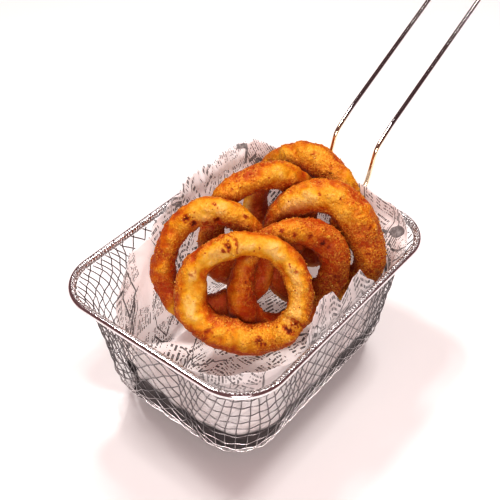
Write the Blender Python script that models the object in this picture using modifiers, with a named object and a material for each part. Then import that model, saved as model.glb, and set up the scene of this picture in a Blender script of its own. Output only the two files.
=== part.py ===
"""A small wire serving basket with a long two-legged handle, a crumpled paper
liner, and six battered onion rings standing in it like leaning coins.

Units are metres, +Z up. The origin is the middle of the basket's flat base.
+X runs towards the handle. Sizes are named in millimetres below.
"""
import math
import bpy
import bmesh
import numpy as np
from mathutils import Matrix, Vector

MM = 0.001

# ---- basket -----------------------------------------------------------------
RIM_HALF_X = 66.0      # middle of the rim wire
RIM_HALF_Y = 52.3
RIM_Z = 64.0
RIM_RADIUS = 1.5       # the rim wire is 3 mm thick
RIM_CORNER = 20.0
SKIN = 1.2             # depth of the woven mesh, both wires together

# pressed shape: how far the mesh stands in from the rim, at each height
WALL = ((24.0, 0.6), (19.5, 1.9), (15.5, 4.0), (12.6, 6.8), (10.4, 10.6),
        (8.6, 17.0), (7.0, 27.0), (5.6, 39.5), (4.6, 51.0), (2.6, 58.6), (0.9, 61.9))

# ---- handle: one bent wire, both legs the same, LEG_Y each side of the middle --
HANDLE_WIRE = 1.25
LEG_Y = 11.2
LEG_FOOT = (62.8, 36.0)       # where a leg starts, against the outside of the wall
LEG_WALL = (63.9, 52.0)
LEG_FLARE = (66.4, 59.5)      # it follows the wall's flare out from under the rim
LEG_RIM = (69.3, 62.8)
LEG_KNEE = (73.4, 66.8)
LEG_BEND = (78.7, 82.3)
LEG_STRAIGHT = (90.3, 89.7)
LEG_RISE = math.radians(25.6)
LEG_LENGTH = 113.0            # straight run after the bend, to the round end

# ---- paper liner ----------------------------------------------------------------
PAPER = 0.5
PAPER_GAP = 1.60       # middle of the paper to the middle of the mesh
# stations round the rim, from the handle side anticlockwise:
# (distance round the rim, height of the paper's edge, lean in from the wall, reach)
# reach 2 is up the wall to that height, and less than 1 ends on the floor
EDGE = ((0, 70, 0.5, 2), (30, 70, 0.5, 2), (48, 73, 0.5, 2), (62, 70, 1.0, 2), (72, 67, 2.0, 2),
        (86, 70, 1.5, 2), (96, 70, 1.0, 2), (105, 66, 0.6, 2), (116, 61, 0.4, 2), (128, 57, 0.4, 2),
        (137, 53, 0.4, 2), (144, 43, 0.4, 2), (150, 32, 0.4, 2), (157, 25, 0.5, 1.6),
        (165, 25, 0.0, 0.90), (175, 25, 0.0, 0.86), (187, 25, 0.0, 0.90), (194, 26, 0.4, 1.6),
        (200, 38, 0.4, 2), (208, 52, 0.4, 2), (222, 58, 0.6, 2), (242, 61, 1.0, 2), (256, 66, 2.0, 2),
        (268, 67, 3.5, 2), (282, 65, 2.5, 2), (293, 59, 1.0, 2), (301, 62, 1.5, 2), (308, 72, 3.0, 2),
        (316, 77, 4.0, 2), (324, 73, 4.0, 2), (331, 67, 3.0, 2), (337, 73, 3.0, 2), (345, 73, 3.0, 2),
        (352, 65, 2.0, 2), (360, 58, 1.0, 2), (376, 58, 0.6, 2), (391, 60, 0.6, 2), (400, 65, 0.6, 2),
        (412, 69, 0.5, 2), (424, 70, 0.5, 2))
FLOOR_MID = 21.5       # the paper is scrunched up, well off the mesh floor
FLOOR_FOOT = 10.5      # where it dips at the foot of the walls

# ---- rings: middle, lean of the face from upright and its compass turn (degrees),
# mean radius, tube radius, and the uneven shape as (amount, angle) pairs ---------
RINGS = {
    "onion_ring_1": dict(mid=(-13.6, -8.6, 58.9), lean=27.3, turn=211.5, radius=22.3, tube=6.05,
                         oval=(0.065, 0), tri=(0.020, -41), quad=(0.010, 44), warp=(0.57, -51),
                         thick=(0.166, -116), thick2=(0.060, 50)),
    "onion_ring_2": dict(mid=(-5.5, 16.2, 56.0), lean=15.7, turn=222.8, radius=23.0, tube=5.80,
                         oval=(0.049, 74), tri=(0.030, -19), quad=(0.013, 1), warp=(0.81, 25),
                         thick=(0.134, -124), thick2=(0.125, -90)),
    "onion_ring_3": dict(mid=(9.4, -12.9, 52.7), lean=15.3, turn=238.2, radius=22.3, tube=5.85,
                         oval=(0.067, 47), tri=(0.033, 2), quad=(0.009, -39), warp=(0.44, 16),
                         thick=(0.085, -48), thick2=(0.180, 27)),
    "onion_ring_4": dict(mid=(32.5, -13.9, 55.3), lean=13.3, turn=212.3, radius=23.1, tube=7.00,
                         oval=(0.072, -81), tri=(0.031, -14), quad=(0.023, -23), warp=(1.14, 24),
                         thick=(0.133, 20), thick2=(0.112, 59)),
    "onion_ring_5": dict(mid=(24.7, 14.8, 59.5), lean=7.1, turn=240.7, radius=23.9, tube=6.30,
                         oval=(0.053, 54), tri=(0.009, -9), quad=(0.018, 42), warp=(0.21, -17),
                         thick=(0.122, -99), thick2=(0.130, 67)),
    "onion_ring_6": dict(mid=(51.4, 10.6, 55.0), lean=16.3, turn=185.4, radius=23.9, tube=6.65,
                         oval=(0.035, 54), tri=(0.009, -25), quad=(0.014, 19), warp=(0.59, 10),
                         thick=(0.064, 44), thick2=(0.075, 84)),
}
RING_AROUND, RING_TUBE = 40, 10


def clear_scene():
    for o in list(bpy.data.objects):
        bpy.data.objects.remove(o, do_unlink=True)


def material(name, colour, rough, metal):
    m = bpy.data.materials.new(name)
    m.use_nodes = True
    b = m.node_tree.nodes["Principled BSDF"]
    b.inputs["Base Color"].default_value = (*colour, 1.0)
    b.inputs["Roughness"].default_value = rough
    b.inputs["Metallic"].default_value = metal
    return m


def add(coll, name, data, mat):
    data.materials.append(mat)
    o = bpy.data.objects.new(name, data)
    coll.objects.link(o)
    return o


def wall_inset(z):
    zs = [w[1] for w in WALL]
    return float(np.interp(z, zs, [w[0] for w in WALL]))


def corner_radius(z):
    return float(np.interp(z, (0.0, 5.0, 30.0, 55.0, RIM_Z), (18.0, 19.0, 26.0, 23.0, RIM_CORNER)))


def station(s):
    """Side or corner, and how far along it, for a distance round the rim."""
    sx, sy = RIM_HALF_X - RIM_CORNER, RIM_HALF_Y - RIM_CORNER
    arc = RIM_CORNER * math.pi / 2
    legs = (sy, arc, 2 * sx, arc, 2 * sy, arc, 2 * sx, arc, sy)
    s = s % sum(legs)
    for k, leg in enumerate(legs):
        if s <= leg or k == 8:
            return k, s / leg
        s -= leg


def on_outline(s, hx, hy, r):
    """A point and its outward direction on a rounded rectangle."""
    k, t = station(s)
    ax, ay = hx - r, hy - r
    if k in (1, 3, 5, 7):
        cx, cy = ((ax, ay), (-ax, ay), (-ax, -ay), (ax, -ay))[k // 2]
        a = math.pi / 2 * (k // 2 + t)
        n = (math.cos(a), math.sin(a))
        return (cx + r * n[0], cy + r * n[1]), n
    if k == 0:
        return (hx, ay * t), (1, 0)
    if k == 2:
        return (ax - 2 * ax * t, hy), (0, 1)
    if k == 4:
        return (-hx, ay - 2 * ay * t), (-1, 0)
    if k == 6:
        return (-ax + 2 * ax * t, -hy), (0, -1)
    return (hx, -ay + ay * t), (1, 0)


def rim_length():
    return 4 * (RIM_HALF_X + RIM_HALF_Y - 2 * RIM_CORNER) + 2 * math.pi * RIM_CORNER


def stations(corner, long_side, short_side):
    """Distances round the rim: so many steps in each corner and side."""
    sx, sy = RIM_HALF_X - RIM_CORNER, RIM_HALF_Y - RIM_CORNER
    arc = RIM_CORNER * math.pi / 2
    out, s = [], -sy
    for leg, n in ((2 * sy, short_side), (arc, corner), (2 * sx, long_side), (arc, corner)) * 2:
        out += [s + leg * i / n for i in range(n)]
        s += leg
    return out


def loft(name, rings, closed_floor):
    """Quads between loops of equal count; the first loop is closed to its middle."""
    bm = bmesh.new()
    loops = [[bm.verts.new(Vector(p) * MM) for p in ring] for ring in rings]
    n = len(loops[0])
    for a, b in zip(loops, loops[1:]):
        for i in range(n):
            j = (i + 1) % n
            bm.faces.new((a[i], a[j], b[j], b[i]))
    if closed_floor:
        mid = bm.verts.new(sum((v.co for v in loops[0]), Vector()) / n)
        for i in range(n):
            bm.faces.new((mid, loops[0][(i + 1) % n], loops[0][i]))
    bmesh.ops.recalc_face_normals(bm, faces=bm.faces)
    me = bpy.data.meshes.new(name)
    bm.to_mesh(me)
    bm.free()
    return me


def solidify(o, thick):
    m = o.modifiers.new("thickness", "SOLIDIFY")
    m.thickness = thick * MM
    m.offset = 0.0
    m.use_even_offset = False
    m.use_rim = True


# ---- rings ----------------------------------------------------------------------

def ring_frame(r):
    lean, turn = math.radians(r["lean"]), math.radians(r["turn"])
    n = Vector((math.cos(lean) * math.cos(turn), math.cos(lean) * math.sin(turn), math.sin(lean)))
    u = Vector((0, 0, 1)).cross(n).normalized()
    return u, n.cross(u), n


def ring_middle(r, t):
    """The middle of the tube at angle t, in the ring's own plane, and the tube radius."""
    def wave(key, k):
        amount, angle = r[key]
        return amount * math.cos(k * (t - math.radians(angle)))
    rad = r["radius"] * (1 + wave("oval", 2) + wave("tri", 3) + wave("quad", 4))
    tube = r["tube"] * (1 + wave("thick", 1) + wave("thick2", 2))
    return Vector((rad * math.cos(t), rad * math.sin(t), wave("warp", 2))), tube


def ring_object(coll, name, r, mat):
    bpy.ops.mesh.primitive_torus_add(major_segments=RING_AROUND, minor_segments=RING_TUBE,
                                     major_radius=r["radius"] * MM, minor_radius=r["tube"] * MM)
    o = bpy.context.object
    o.name = o.data.name = name
    for c in list(o.users_collection):
        c.objects.unlink(o)
    coll.objects.link(o)
    for v in o.data.vertices:
        t = math.atan2(v.co.y, v.co.x)
        across = math.hypot(v.co.x, v.co.y) - r["radius"] * MM
        p = math.atan2(v.co.z, across)
        mid, tube = ring_middle(r, t)
        out = Vector((math.cos(t), math.sin(t), 0))
        v.co = (mid + tube * (math.cos(p) * out + math.sin(p) * Vector((0, 0, 1)))) * MM
    u, w, n = ring_frame(r)
    o.matrix_world = Matrix.Translation(Vector(r["mid"]) * MM) @ Matrix((u, w, n)).transposed().to_4x4()
    o.data.shade_smooth()
    o.data.materials.append(mat)
    return o


def ring_tubes():
    """Points along every ring's tube in the basket's frame, with the tube's radius."""
    pts, rad = [], []
    for r in RINGS.values():
        u, w, n = ring_frame(r)
        for i in range(60):
            m, tube = ring_middle(r, 2 * math.pi * i / 60)
            pts.append(Vector(r["mid"]) + m.x * u + m.y * w + m.z * n)
            rad.append(tube)
    return np.array([tuple(p) for p in pts]), np.array(rad)


# ---- paper ------------------------------------------------------------------------

def edge_at(s):
    L = rim_length()
    e = np.array(EDGE, float)
    e = np.vstack([e, e[0] + np.array([L, 0, 0, 0])])
    return [float(np.interp(s % L, e[:, 0], e[:, c])) for c in (1, 2, 3)]


def paper_point(s, reach):
    """reach 0 is the middle, 1 the foot of the wall, 2 the paper's edge."""
    z_edge, lean, reach_max = edge_at(s)
    tau = reach / 2 * reach_max
    foot = wall_inset(FLOOR_FOOT) + PAPER_GAP
    (fx, fy), n = on_outline(s, RIM_HALF_X - foot, RIM_HALF_Y - foot, corner_radius(FLOOR_FOOT))
    if tau <= 1:
        drop = min(1.0, max(0.0, (tau - 0.60) / 0.40))
        z = FLOOR_MID + (FLOOR_FOOT - FLOOR_MID) * drop * drop * (3 - 2 * drop)
        if reach_max < 1.6:
            z = FLOOR_MID + 3.0 * tau ** 3
        return Vector((fx * tau, fy * tau, z)), Vector((n[0], n[1], -0.8)).normalized()
    h = tau - 1
    z = FLOOR_FOOT + (z_edge - FLOOR_FOOT) * h
    inset = max(wall_inset(min(z, RIM_Z)) + PAPER_GAP, 2.6) + lean * h * h
    (x, y), n = on_outline(s, RIM_HALF_X - inset, RIM_HALF_Y - inset, corner_radius(min(z, RIM_Z)))
    return Vector((x, y, z)), Vector((n[0], n[1], 0))


def pressed_clear(p, n, tubes, rad, gap):
    """Move p along n until it is clear of every ring."""
    for _ in range(3):
        d = np.array(p)[None] - tubes
        need = rad + gap
        hit = (d ** 2).sum(1) < need ** 2
        if not hit.any():
            break
        dn = d[hit] @ np.array(n)
        c = (d[hit] ** 2).sum(1) - need[hit] ** 2
        p = p + n * float(np.max(-dn + np.sqrt(np.maximum(dn ** 2 - c, 0))))
    return p


def paper_object(coll, mat):
    tubes, rad = ring_tubes()
    reaches = [0.3, 0.58, 0.80, 1.0, 1.2, 1.42, 1.64, 1.84, 2.0]
    loops = []
    for reach in reaches:
        loop = []
        for s in stations(4, 10, 8):
            p, n = paper_point(s, reach)
            loop.append(pressed_clear(p, n, tubes, rad, PAPER / 2 + 0.50))
        loops.append(loop)
    o = add(coll, "paper_liner", loft("paper_liner", loops, True), mat)
    solidify(o, PAPER)
    o.data.shade_smooth()
    return o


# ---- wire ---------------------------------------------------------------------------

def wire(coll, name, pts, radius, cyclic, mat):
    cu = bpy.data.curves.new(name, "CURVE")
    cu.dimensions = "3D"
    sp = cu.splines.new("POLY")
    sp.points.add(len(pts) - 1)
    for q, p in zip(sp.points, pts):
        q.co = (*(Vector(p) * MM), 1.0)
    sp.use_cyclic_u = cyclic
    sp.use_smooth = True
    cu.bevel_depth = radius * MM
    cu.bevel_resolution = 2
    cu.use_fill_caps = not cyclic
    return add(coll, name, cu, mat)


def bend(a, b, c, r, n):
    """A fillet of radius r at b between the lines from a and to c."""
    a, b, c = Vector(a), Vector(b), Vector(c)
    u, w = (a - b).normalized(), (c - b).normalized()
    half = u.angle(w) / 2
    t = min(r / math.tan(half), 0.48 * (a - b).length, 0.48 * (c - b).length)
    p, q = b + u * t, b + w * t
    return [(p * (1 - k) + b * k) * (1 - k) + (b * (1 - k) + q * k) * k for k in (i / n for i in range(n + 1))]


def handle_points():
    end = (LEG_STRAIGHT[0] + LEG_LENGTH * math.cos(LEG_RISE), LEG_STRAIGHT[1] + LEG_LENGTH * math.sin(LEG_RISE))
    side = [LEG_FOOT, LEG_WALL, LEG_FLARE, LEG_RIM, LEG_KNEE, LEG_BEND, LEG_STRAIGHT, end]
    side = [(x, LEG_Y, z) for x, z in side]
    leg = [Vector(side[0])]
    for i, r, n in ((1, 20.0, 2), (2, 12.0, 2), (3, 20.0, 1), (4, 14.0, 3), (5, 5.5, 4), (6, 30.0, 2)):
        leg += bend(side[i - 1], side[i], side[i + 1], r, n)
    a, b = leg[-1], Vector(side[-1])
    leg += [a.lerp(b, k / 4) for k in range(1, 5)]
    run = Vector((math.cos(LEG_RISE), 0, math.sin(LEG_RISE)))
    loop = []
    for i in range(1, 10):
        t = math.pi / 2 * (1 - 2 * i / 10)
        loop.append(b + run * (LEG_Y * math.cos(t)) + Vector((0, LEG_Y * (math.sin(t) - 1), 0)))
    back = [Vector((p.x, -p.y, p.z)) for p in reversed(leg)]
    return leg + loop + back


def main():
    clear_scene()
    coll = bpy.data.collections.new("onion_ring_basket")
    bpy.context.scene.collection.children.link(coll)
    bpy.data.collections.new("cutters")
    steel = material("steel_mesh", (0.62, 0.60, 0.60), 0.35, 1.0)
    chrome = material("polished_wire", (0.78, 0.76, 0.75), 0.18, 1.0)
    paper = material("greaseproof_paper", (0.86, 0.80, 0.78), 0.75, 0.0)
    crust = material("golden_crust", (0.80, 0.36, 0.06), 0.55, 0.0)

    # pressed mesh, as one skin as deep as the weave
    loops = []
    marks = stations(4, 4, 3)
    for inset, z in WALL:
        loops.append([(*on_outline(s, RIM_HALF_X - inset, RIM_HALF_Y - inset, min(corner_radius(z), 30.0))[0], z)
                      for s in marks])
    basket = add(coll, "basket_mesh", loft("basket_mesh", loops, True), steel)
    solidify(basket, SKIN)
    basket.data.shade_smooth()

    ring = [(*on_outline(s, RIM_HALF_X, RIM_HALF_Y, RIM_CORNER)[0], RIM_Z) for s in stations(6, 2, 2)]
    wire(coll, "rim_wire", ring, RIM_RADIUS, True, chrome)
    wire(coll, "handle_wire", handle_points(), HANDLE_WIRE, False, chrome)

    paper_object(coll, paper)
    for name, r in RINGS.items():
        ring_object(coll, name, r, crust)


main()
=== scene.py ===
import math
import bmesh
import bpy
import numpy as np
from mathutils import Matrix, Vector, noise


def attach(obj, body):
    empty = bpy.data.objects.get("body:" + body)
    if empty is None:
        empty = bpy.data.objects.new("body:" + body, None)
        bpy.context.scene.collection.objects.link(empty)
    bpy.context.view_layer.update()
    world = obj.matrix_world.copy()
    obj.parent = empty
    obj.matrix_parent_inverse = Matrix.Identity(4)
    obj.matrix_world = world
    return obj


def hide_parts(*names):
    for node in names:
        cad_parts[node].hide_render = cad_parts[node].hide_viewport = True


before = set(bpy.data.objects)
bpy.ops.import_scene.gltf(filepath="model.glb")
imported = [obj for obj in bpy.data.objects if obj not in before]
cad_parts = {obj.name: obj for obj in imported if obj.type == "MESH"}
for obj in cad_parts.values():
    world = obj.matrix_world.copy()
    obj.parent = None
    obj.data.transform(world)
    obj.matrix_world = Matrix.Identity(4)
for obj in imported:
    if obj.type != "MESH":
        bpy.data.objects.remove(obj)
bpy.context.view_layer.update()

MM = 0.001
BODY = "root"
rng = np.random.default_rng(11)

# ------------------------------------------------------------------------------
# sizes, the same as the model's
# ------------------------------------------------------------------------------
RIM_HALF_X, RIM_HALF_Y, RIM_Z, RIM_RADIUS, RIM_CORNER = 66.0, 52.3, 64.0, 1.5, 20.0
WALL = ((24.0, 0.6), (19.5, 1.9), (15.5, 4.0), (12.6, 6.8), (10.4, 10.6),
        (8.6, 17.0), (7.0, 27.0), (5.6, 39.5), (4.6, 51.0), (2.6, 58.6), (0.9, 61.9))
HANDLE_WIRE, LEG_Y = 1.25, 11.2
LEG_FOOT, LEG_WALL, LEG_FLARE = (62.8, 36.0), (63.9, 52.0), (66.4, 59.5)
LEG_RIM, LEG_KNEE, LEG_BEND, LEG_STRAIGHT = (69.3, 62.8), (73.4, 66.8), (78.7, 82.3), (90.3, 89.7)
LEG_RISE, LEG_LENGTH = math.radians(25.6), 113.0
EDGE = ((0, 71, 0.5, 2), (22, 69, 0.5, 2), (36, 72, 0.5, 2), (48, 74, 0.5, 2), (58, 72, 0.8, 2), (66, 72, 1.0, 2),
        (73, 70, 1.5, 2), (80, 72, 2.0, 2), (87, 73, 1.5, 2), (94, 72, 1.0, 2), (98, 69, 0.8, 2), (102, 69, 0.4, 2),
        (107, 67, 0.2, 2), (112, 65, 0.2, 2), (116, 63, 0.3, 2), (122, 59, 0.4, 2), (130, 58, 0.4, 2),
        (139, 58, 0.4, 2), (148, 51, 0.4, 2), (154, 47, 0.4, 2), (159, 41, 0.4, 2), (164, 34, 0.4, 2),
        (170, 28, 0.3, 1.6), (176, 25, 0.0, 0.96), (184, 25, 0.0, 0.92), (190, 26, 0.2, 1.4),
        (195, 34, 0.4, 2), (200, 44, 0.4, 2), (208, 54, 0.4, 2), (222, 59, 0.6, 2), (242, 62, 1.0, 2), (256, 66, 2.0, 2),
        (268, 67, 3.5, 2), (282, 65, 2.5, 2), (293, 59, 1.0, 2), (301, 62, 1.5, 2), (306, 70, 2.5, 2), (311, 75, 3.5, 2),
        (317, 77, 4.0, 2), (324, 75, 4.0, 2), (329, 67, 3.0, 2), (334, 70, 3.0, 2), (338, 74, 3.0, 2), (345, 74, 3.0, 2),
        (350, 66, 2.0, 2), (360, 58, 1.0, 2), (376, 59, 0.4, 2), (388, 62, 0.3, 2), (395, 66, 0.3, 2),
        (402, 70, 0.4, 2), (412, 70, 0.5, 2), (420, 73, 0.5, 2), (428, 73, 0.5, 2))
FLOOR_MID, FLOOR_FOOT = 21.5, 10.5
RINGS = {
    "onion_ring_1": dict(mid=(-13.6, -8.6, 58.9), lean=27.3, turn=211.5, radius=22.3, tube=6.05,
                         oval=(0.065, 0), tri=(0.020, -41), quad=(0.010, 44), warp=(0.57, -51),
                         thick=(0.166, -116), thick2=(0.060, 50)),
    "onion_ring_2": dict(mid=(-5.5, 16.2, 56.0), lean=15.7, turn=222.8, radius=23.0, tube=5.80,
                         oval=(0.049, 74), tri=(0.030, -19), quad=(0.013, 1), warp=(0.81, 25),
                         thick=(0.134, -124), thick2=(0.125, -90)),
    "onion_ring_3": dict(mid=(9.4, -12.9, 52.7), lean=15.3, turn=238.2, radius=22.3, tube=5.85,
                         oval=(0.067, 47), tri=(0.033, 2), quad=(0.009, -39), warp=(0.44, 16),
                         thick=(0.085, -48), thick2=(0.180, 27)),
    "onion_ring_4": dict(mid=(32.5, -13.9, 55.3), lean=13.3, turn=212.3, radius=23.1, tube=7.00,
                         oval=(0.072, -81), tri=(0.031, -14), quad=(0.023, -23), warp=(1.14, 24),
                         thick=(0.133, 20), thick2=(0.112, 59)),
    "onion_ring_5": dict(mid=(24.7, 14.8, 59.5), lean=7.1, turn=240.7, radius=23.9, tube=6.30,
                         oval=(0.053, 54), tri=(0.009, -9), quad=(0.018, 42), warp=(0.21, -17),
                         thick=(0.122, -99), thick2=(0.130, 67)),
    "onion_ring_6": dict(mid=(51.4, 10.6, 55.0), lean=16.3, turn=185.4, radius=23.9, tube=6.65,
                         oval=(0.035, 54), tri=(0.009, -25), quad=(0.014, 19), warp=(0.59, 10),
                         thick=(0.064, 44), thick2=(0.075, 84)),
}

# ------------------------------------------------------------------------------
# camera: a level long-focus view down over one corner of the rim
# ------------------------------------------------------------------------------
FOCAL_PX, PITCH, YAW, DIST = 918.9, math.radians(41.35), math.radians(38.81), 397.85
TARGET = Vector((4.04, 3.14, RIM_Z))
look = Vector((math.cos(YAW) * math.cos(PITCH), math.sin(YAW) * math.cos(PITCH), -math.sin(PITCH)))
cam_data = bpy.data.cameras.new("camera")
cam_data.sensor_width = 36.0
cam_data.lens = FOCAL_PX * 36.0 / 500.0
cam_data.clip_start, cam_data.clip_end = 0.01, 20.0
cam = bpy.data.objects.new("camera", cam_data)
cam.location = (TARGET - look * DIST) * MM
cam.rotation_mode = "QUATERNION"
cam.rotation_quaternion = look.to_track_quat("-Z", "Y")
bpy.context.scene.collection.objects.link(cam)
bpy.context.scene.camera = cam


# ------------------------------------------------------------------------------
# node helpers
# ------------------------------------------------------------------------------
class Nodes:
    def __init__(self, name):
        self.mat = bpy.data.materials.new(name)
        self.mat.use_nodes = True
        self.t = self.mat.node_tree
        self.bsdf = self.t.nodes["Principled BSDF"]
        self.obj = None

    def new(self, kind, **props):
        n = self.t.nodes.new(kind)
        for k, v in props.items():
            setattr(n, k, v)
        return n

    def link(self, a, b):
        self.t.links.new(a, b)

    def coords(self):
        if self.obj is None:
            self.obj = self.new("ShaderNodeTexCoord").outputs["Object"]
        return self.obj

    def noise(self, scale, detail=3.0, rough=0.5, vec=None, dist=0.0):
        n = self.new("ShaderNodeTexNoise")
        n.inputs["Scale"].default_value = scale
        n.inputs["Detail"].default_value = detail
        n.inputs["Roughness"].default_value = rough
        n.inputs["Distortion"].default_value = dist
        self.link(vec or self.coords(), n.inputs["Vector"])
        return n.outputs["Fac"]

    def ramp(self, fac, stops, mode="LINEAR"):
        n = self.new("ShaderNodeValToRGB")
        n.color_ramp.interpolation = mode
        e = n.color_ramp.elements
        while len(e) < len(stops):
            e.new(0.5)
        for el, (p, c) in zip(e, stops):
            el.position = p
            el.color = (*c, 1.0) if len(c) == 3 else c
        self.link(fac, n.inputs["Fac"])
        return n.outputs["Color"]

    def math(self, op, a, b=0.0, clamp=False):
        n = self.new("ShaderNodeMath", operation=op, use_clamp=clamp)
        for i, v in enumerate((a, b)):
            if isinstance(v, (int, float)):
                n.inputs[i].default_value = v
            else:
                self.link(v, n.inputs[i])
        return n.outputs[0]

    def map(self, v, a, b, c=0.0, d=1.0):
        n = self.new("ShaderNodeMapRange")
        for i, x in zip((1, 2, 3, 4), (a, b, c, d)):
            n.inputs[i].default_value = x
        self.link(v, n.inputs[0])
        return n.outputs[0]

    def mix(self, fac, a, b, blend="MIX"):
        n = self.new("ShaderNodeMix", data_type="RGBA", blend_type=blend)
        if isinstance(fac, (int, float)):
            n.inputs[0].default_value = fac
        else:
            self.link(fac, n.inputs[0])
        for i, v in ((6, a), (7, b)):
            if isinstance(v, tuple):
                n.inputs[i].default_value = (*v, 1.0)
            else:
                self.link(v, n.inputs[i])
        return n.outputs[2]

    def attr(self, name):
        return self.new("ShaderNodeAttribute", attribute_name=name)

    def bump(self, height, dist, strength=1.0):
        n = self.new("ShaderNodeBump")
        n.inputs["Distance"].default_value = dist
        n.inputs["Strength"].default_value = strength
        self.link(height, n.inputs["Height"])
        return n.outputs["Normal"]


def steel_material(name, base, rough, dark=0.5, low=None):
    k = Nodes(name)
    b = k.bsdf
    b.inputs["Metallic"].default_value = 1.0
    patch = k.noise(900.0, 4.0, 0.6)
    colour = k.ramp(patch, ((0.25, tuple(c * dark for c in base)), (0.62, base)))
    # low = (from, to, colour): below that height, fading out between the two and above the lowest few millimetres, the
    # base colour turns to that colour; it is a painted reflection, not a change in the steel
    if low:
        z = k.new("ShaderNodeSeparateXYZ")
        k.link(k.coords(), z.inputs[0])
        reflection_band = k.math("MULTIPLY", k.map(z.outputs[2], low[0], low[1], 1.0, 0.0), k.map(z.outputs[2], 0.0015, 0.0060, 0.0, 1.0))
        colour = k.mix(reflection_band, colour, low[2])
    k.link(colour, b.inputs["Base Color"])
    k.link(k.map(k.noise(2600.0, 2.0), 0.2, 0.8, rough * 0.7, rough * 1.5), b.inputs["Roughness"])
    k.link(k.bump(k.noise(5200.0, 2.0), 0.00004, 0.35), b.inputs["Normal"])
    return k.mat


# ------------------------------------------------------------------------------
# shared geometry
# ------------------------------------------------------------------------------
WZ = np.array([w[1] for w in WALL])
WI = np.array([w[0] for w in WALL])
SIDE_X, SIDE_Y = RIM_HALF_X - RIM_CORNER, RIM_HALF_Y - RIM_CORNER
ARC = RIM_CORNER * math.pi / 2
RIM_LENGTH = 4 * (SIDE_X + SIDE_Y) + 4 * ARC
LEGS = np.array((SIDE_Y, ARC, 2 * SIDE_X, ARC, 2 * SIDE_Y, ARC, 2 * SIDE_X, ARC, SIDE_Y))


def wall_inset(z):
    return np.interp(z, WZ, WI)


def corner_radius(z):
    return np.interp(z, (0.0, 5.0, 30.0, 55.0, RIM_Z), (18.0, 19.0, 26.0, 23.0, RIM_CORNER))


def on_outline(s, hx, hy, r):
    """Points and outward directions on rounded rectangles, all arguments as arrays."""
    s, hx, hy, r = np.broadcast_arrays(np.mod(s, RIM_LENGTH), hx, hy, r)
    ends = np.cumsum(LEGS)
    k = np.minimum(np.searchsorted(ends, s, side="left"), 8)
    t = (s - (ends[k] - LEGS[k])) / LEGS[k]
    ax, ay = hx - r, hy - r
    q = k // 2
    sx = np.choose(np.minimum(q, 3), (1, -1, -1, 1))
    sy = np.choose(np.minimum(q, 3), (1, 1, -1, -1))
    a = math.pi / 2 * (q + t)
    corner = k % 2 == 1
    x = np.where(corner, sx * ax + r * np.cos(a), 0.0)
    y = np.where(corner, sy * ay + r * np.sin(a), 0.0)
    nx, ny = np.where(corner, np.cos(a), 0.0), np.where(corner, np.sin(a), 0.0)
    for kk, fx, fy, n in ((0, lambda t: hx, lambda t: ay * t, (1, 0)),
                          (2, lambda t: ax - 2 * ax * t, lambda t: hy, (0, 1)),
                          (4, lambda t: -hx, lambda t: ay - 2 * ay * t, (-1, 0)),
                          (6, lambda t: -ax + 2 * ax * t, lambda t: -hy, (0, -1)),
                          (8, lambda t: hx, lambda t: -ay + ay * t, (1, 0))):
        m = k == kk
        x, y = np.where(m, fx(t), x), np.where(m, fy(t), y)
        nx, ny = np.where(m, n[0], nx), np.where(m, n[1], ny)
    return x, y, nx, ny


def mesh_object(name, verts, faces, mat, smooth=True):
    me = bpy.data.meshes.new(name)
    verts = np.asarray(verts, np.float32) * MM
    faces = np.asarray(faces, np.int32)
    me.vertices.add(len(verts))
    me.vertices.foreach_set("co", verts.ravel())
    n = faces.shape[1]
    me.loops.add(faces.size)
    me.loops.foreach_set("vertex_index", faces.ravel())
    me.polygons.add(len(faces))
    me.polygons.foreach_set("loop_start", np.arange(0, faces.size, n, dtype=np.int32))
    me.update(calc_edges=True)
    me.validate()
    if smooth:
        me.shade_smooth()
    me.materials.append(mat)
    o = bpy.data.objects.new(name, me)
    bpy.context.scene.collection.objects.link(o)
    return o


def attribute(o, name, values):
    a = o.data.attributes.new(name, "FLOAT", "POINT")
    a.data.foreach_set("value", np.asarray(values, np.float32))


def tubes(paths, radii, sides, closed=False):
    """Round tubes along many paths, as one list of vertices and quads (ends capped by a fan)."""
    V, F, n0 = [], [], 0
    ang = np.arange(sides) * 2 * math.pi / sides
    for path, rad in zip(paths, radii):
        P = np.asarray(path, float)
        n = len(P)
        if closed:
            tan = np.roll(P, -1, 0) - np.roll(P, 1, 0)
        else:
            tan = np.gradient(P, axis=0)
        tan /= np.linalg.norm(tan, axis=1)[:, None] + 1e-12
        # carry one direction along the path so that the tube doesn't twist
        u = np.cross(tan[0], (0.3, 0.2, 1.0))
        u /= np.linalg.norm(u)
        U = np.empty_like(P)
        for i in range(n):
            u = u - tan[i] * (u @ tan[i])
            u /= np.linalg.norm(u)
            U[i] = u
        W = np.cross(tan, U)
        r = np.broadcast_to(np.asarray(rad, float), (n,))[:, None, None]
        ringv = P[:, None] + r * (np.cos(ang)[None, :, None] * U[:, None] + np.sin(ang)[None, :, None] * W[:, None])
        V.append(ringv.reshape(-1, 3))
        i = np.arange(n if closed else n - 1)[:, None]
        j = np.arange(sides)[None]
        a, b = n0 + i * sides + j, n0 + i * sides + (j + 1) % sides
        i2 = (i + 1) % n
        c, d = n0 + i2 * sides + (j + 1) % sides, n0 + i2 * sides + j
        F.append(np.stack([a, b, c, d], -1).reshape(-1, 4))
        if not closed and sides % 2 == 0:
            for base, flip in ((n0, True), (n0 + (n - 1) * sides, False)):
                for m in range(1, sides - 1, 2):
                    q = [base, base + m, base + m + 1, base + (m + 2) % sides]
                    if m + 2 >= sides:
                        q = None
                    if q:
                        F.append(np.array([q[::-1] if flip else q]))
        n0 += n * sides
    return np.concatenate(V), np.concatenate(F)



# ------------------------------------------------------------------------------
# woven mesh: straight wires of a flat bias-cut sheet, pressed into the basket
# ------------------------------------------------------------------------------
zz = np.concatenate([[0.6], np.linspace(0.6, 62.6, 260)])
prof_i = wall_inset(zz)
prof_s = np.concatenate([[0.0], np.cumsum(np.hypot(np.diff(prof_i), np.diff(zz)))])
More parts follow.
